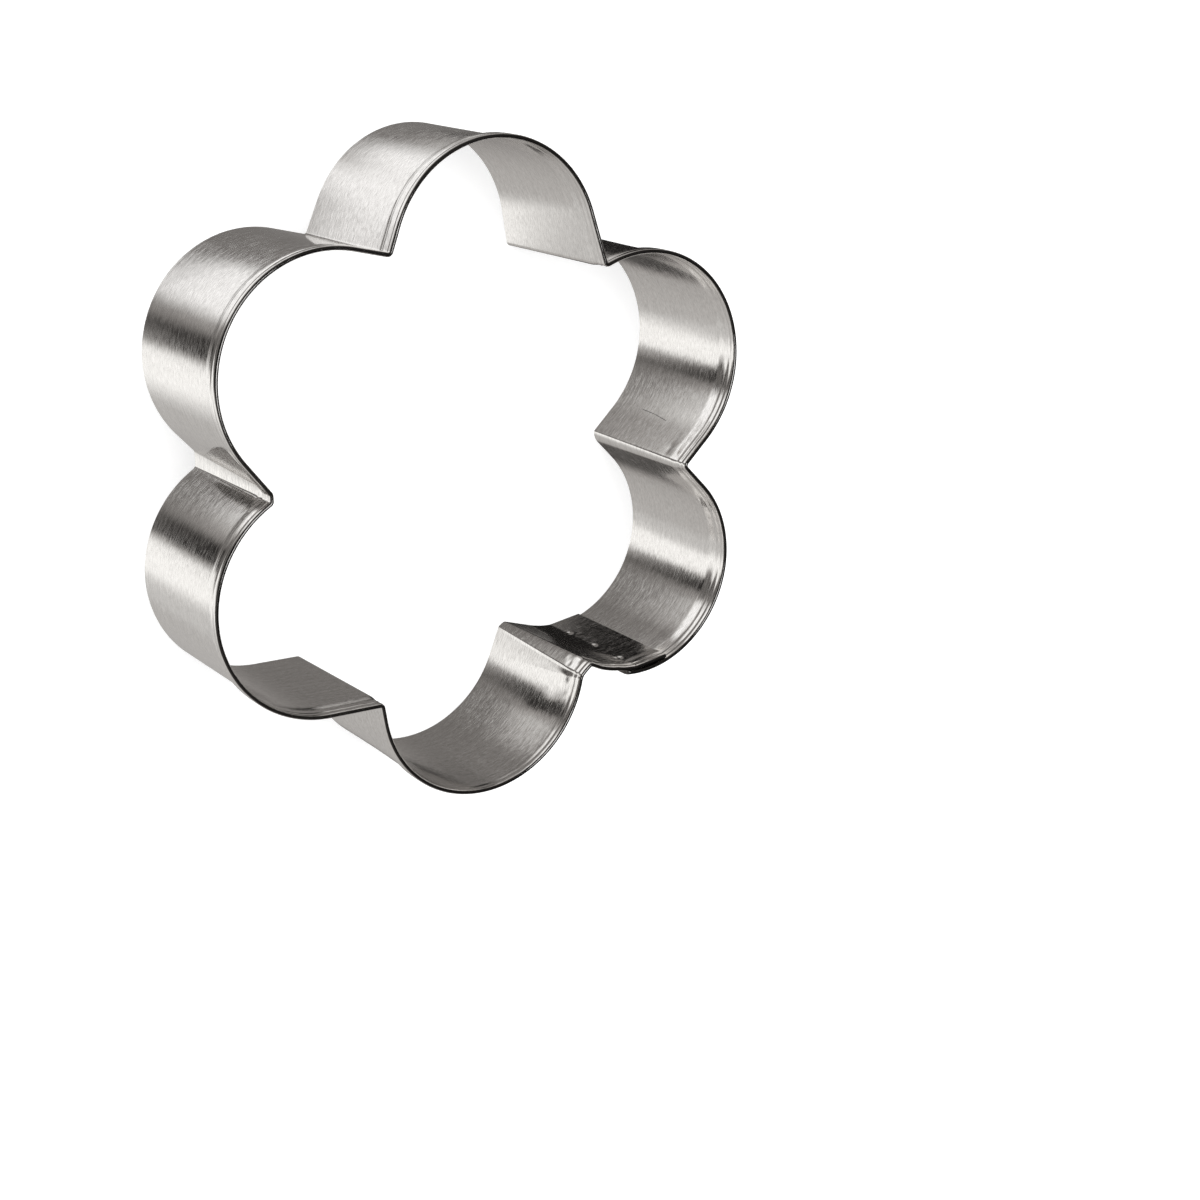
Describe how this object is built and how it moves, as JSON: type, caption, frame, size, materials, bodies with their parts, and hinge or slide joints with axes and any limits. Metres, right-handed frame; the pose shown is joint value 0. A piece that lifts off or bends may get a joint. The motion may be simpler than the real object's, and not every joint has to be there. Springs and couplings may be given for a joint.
{
  "type": "cookie cutter",
  "caption": "Flower-shaped cookie cutter bent from a strip of tinned steel, with a plain cutting edge, a hemmed rim and a spot-welded lap seam.",
  "frame": {"origin": "on the cutting plane, at the middle of the outline's box", "axes": "+Z from the cutting edge up to the hemmed rim; the seam petal is at +Y, and notches lie near +X and -X"},
  "size_m": [0.0924, 0.1028, 0.0254],
  "materials": {
    "tinned_steel": "bright tin plate, brushed along the strip",
    "weld_metal": "dished by the electrodes, slightly dull"
  },
  "bodies": {
    "root": {"cutter_strip": "tinned_steel", "spot_welds": "weld_metal"}
  },
  "joints": []
}
